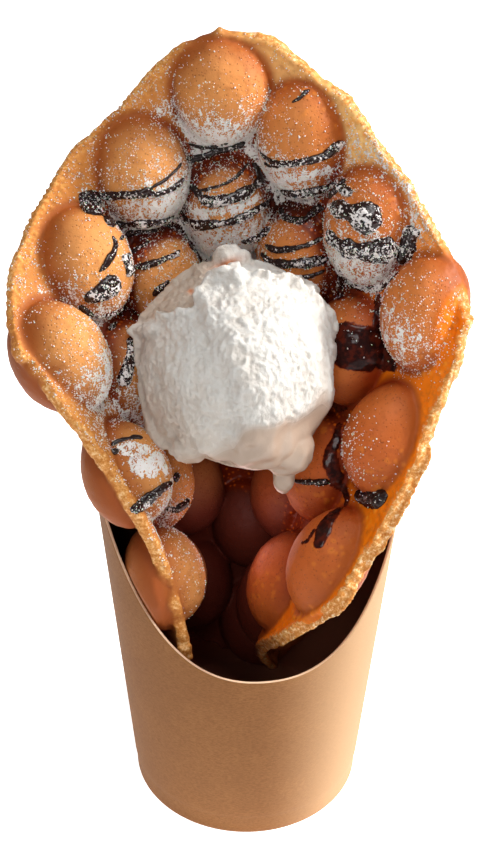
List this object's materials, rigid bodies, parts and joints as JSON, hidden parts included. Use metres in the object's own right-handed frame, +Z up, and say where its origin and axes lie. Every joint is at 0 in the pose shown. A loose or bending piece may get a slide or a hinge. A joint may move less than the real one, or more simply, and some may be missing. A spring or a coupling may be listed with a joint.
{
  "type": "bubble waffle in a paper scoop cup",
  "caption": "Rolled bubble waffle standing in a kraft paper scoop cup, filled with an ice cream scoop and drizzled with chocolate.",
  "frame": {"origin": "middle of the part's box at the level the cup stands on", "axes": "+Z up along the cup's axis; the roll is open and the cup's rim is lowest towards -Y; +X to the right seen from the open side"},
  "size_m": [0.1126, 0.083, 0.2128],
  "materials": {
    "kraft_paper": "matt unbleached kraft paper board with fine fibres",
    "baked_waffle": "baked egg batter, satin and finely pored, golden to orange brown",
    "ice_cream": "vanilla ice cream, torn and soft, moist where it melts",
    "chocolate": "dark chocolate sauce, glossy under a dusting",
    "icing_sugar": "fine white icing sugar"
  },
  "bodies": {
    "root": {"cup": "kraft_paper", "waffle": "baked_waffle", "ice_cream": "ice_cream"}
  },
  "joints": []
}
